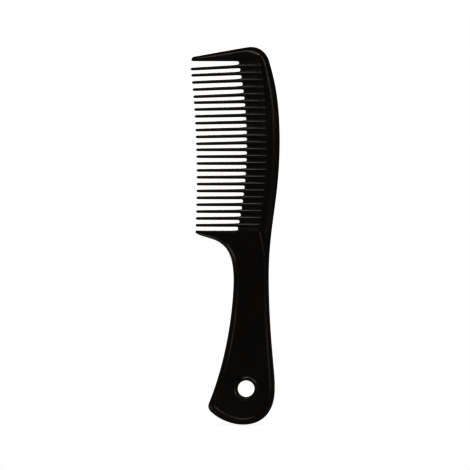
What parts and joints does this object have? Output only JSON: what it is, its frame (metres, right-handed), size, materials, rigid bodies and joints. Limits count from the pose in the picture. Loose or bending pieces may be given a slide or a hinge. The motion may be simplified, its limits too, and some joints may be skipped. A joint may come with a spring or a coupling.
{
  "type": "wide tooth comb",
  "caption": "One-piece moulded handle comb in black plastic: wide, evenly spaced teeth between two guard teeth, ribbed web, bowed spine, beaded flat handle and a hanging hole.",
  "frame": {"origin": "centre of the hanging hole, half way through the comb's thickness", "axes": "+Z along the handle from the butt up to the head, teeth point to -X, back of the spine faces +X, flat faces look along -Y (front) and +Y (back)"},
  "size_m": [0.0508, 0.0046, 0.2158],
  "materials": {
    "black_plastic": "satin gloss"
  },
  "bodies": {
    "root": {"spine": "black_plastic", "rib_web": "black_plastic", "teeth": "black_plastic", "top_guard_tooth": "black_plastic", "bottom_guard_tooth": "black_plastic", "handle_panel": "black_plastic", "handle_bead": "black_plastic", "hang_hole_ring": "black_plastic"}
  },
  "joints": []
}
